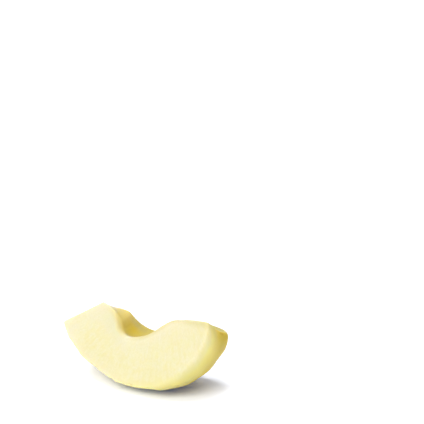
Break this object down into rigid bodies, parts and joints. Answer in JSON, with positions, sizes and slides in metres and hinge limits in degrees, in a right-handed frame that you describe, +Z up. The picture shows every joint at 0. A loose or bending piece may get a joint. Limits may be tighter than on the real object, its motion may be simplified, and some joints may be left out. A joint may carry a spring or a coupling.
{
  "type": "apple slice",
  "caption": "Peeled and cored apple slice lying on its round back, with two flat cut faces and a scooped core notch.",
  "frame": {"origin": "centre of the slice's footprint, at the level of the surface that it lies on", "axes": "+X along the slice towards its blunt end, +Y across it away from the cut face that the picture shows, +Z up"},
  "size_m": [0.0682, 0.0306, 0.0301],
  "materials": {
    "flesh": "soft satin, moist cut flesh"
  },
  "bodies": {
    "root": {"apple_slice": "flesh"}
  },
  "joints": []
}
